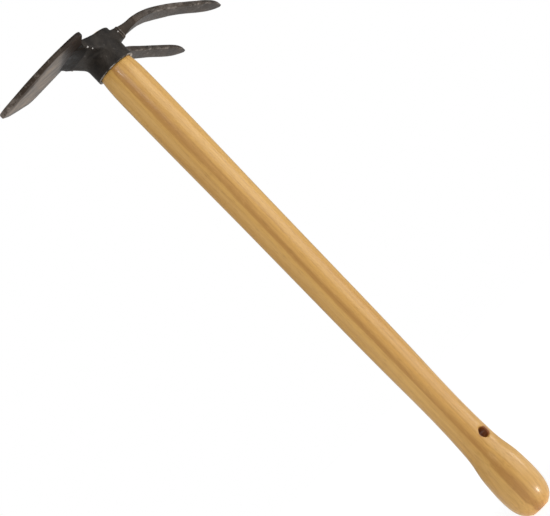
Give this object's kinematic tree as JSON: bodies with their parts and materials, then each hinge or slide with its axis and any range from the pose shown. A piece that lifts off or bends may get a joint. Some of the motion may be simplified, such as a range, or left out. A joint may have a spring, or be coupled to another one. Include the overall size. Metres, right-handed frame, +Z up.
{
  "type": "grub hoe",
  "caption": "Short-handled grub hoe: a shield-shaped digging blade on one side of a round eye and a curved tined fork on the other, wedged on a turned ash handle with a knob and a hang hole.",
  "frame": {"origin": "middle of the handle's flat butt end, on the handle's axis", "axes": "+Z up along the handle from the butt to the head, +X the way the blade points, the tines point along -X, +Y to the left of the blade"},
  "size_m": [0.2419, 0.075, 0.4686],
  "materials": {
    "ash": "clear lacquer",
    "wedge_wood": "raw",
    "black_steel": "satin black over forged steel",
    "blade_steel": "forged plate, thinly coated, inner face rubbed bare",
    "weld_metal": "dressed weld",
    "bare_steel": "bare"
  },
  "bodies": {
    "root": {"handle": "ash", "wooden_wedge": "wedge_wood", "steel_wedge": "bare_steel", "head_eye": "black_steel", "hoe_blade": "blade_steel", "blade_weld_lower": "weld_metal", "blade_weld_upper": "weld_metal", "left_tine": "black_steel", "left_tine_weld": "weld_metal", "right_tine": "black_steel", "right_tine_weld": "weld_metal"}
  },
  "joints": []
}
